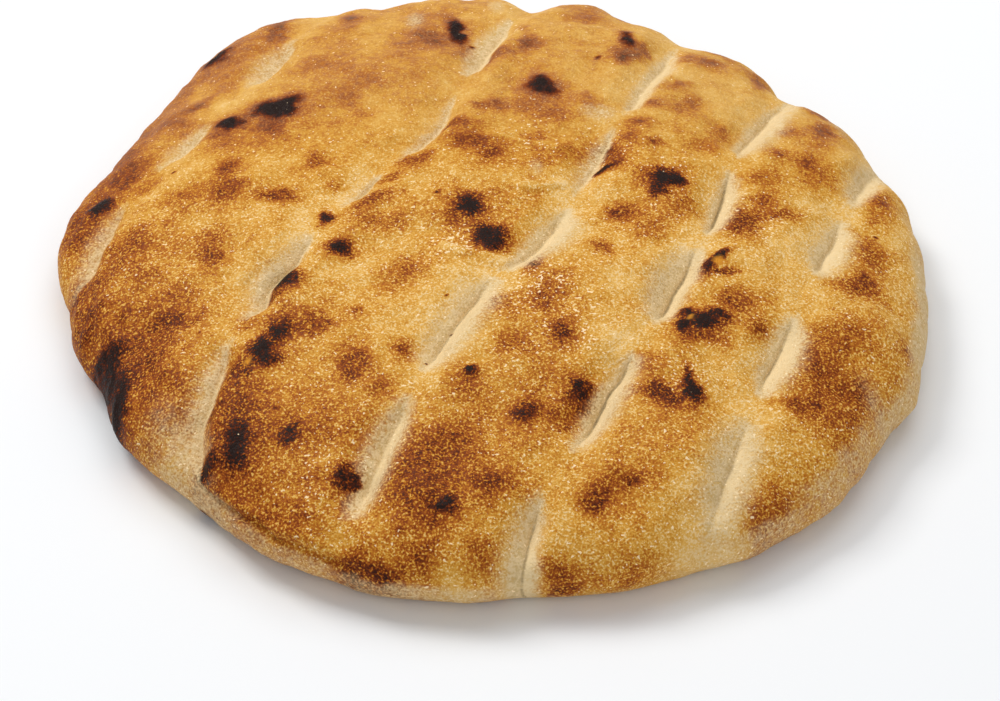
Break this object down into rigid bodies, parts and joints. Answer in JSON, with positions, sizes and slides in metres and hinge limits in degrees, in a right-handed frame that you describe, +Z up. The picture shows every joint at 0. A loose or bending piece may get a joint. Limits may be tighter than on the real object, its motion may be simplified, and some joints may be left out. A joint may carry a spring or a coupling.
{
  "type": "pita bread",
  "caption": "Round thick flatbread with a golden, scorched crust and rows of slashes across its low domed top, lying on a flat underside.",
  "frame": {"origin": "middle of the loaf's box at the surface it lies on", "axes": "+Z up through the crust, +X right and +Y away from someone who looks at the loaf as in the picture, with the slash rows running from the near left to the far right"},
  "size_m": [0.2402, 0.244, 0.0383],
  "materials": {
    "crust": "matt baked crust, golden with brown and black scorch marks and pale unbrowned slashes"
  },
  "bodies": {
    "root": {"pita_bread": "crust"}
  },
  "joints": []
}
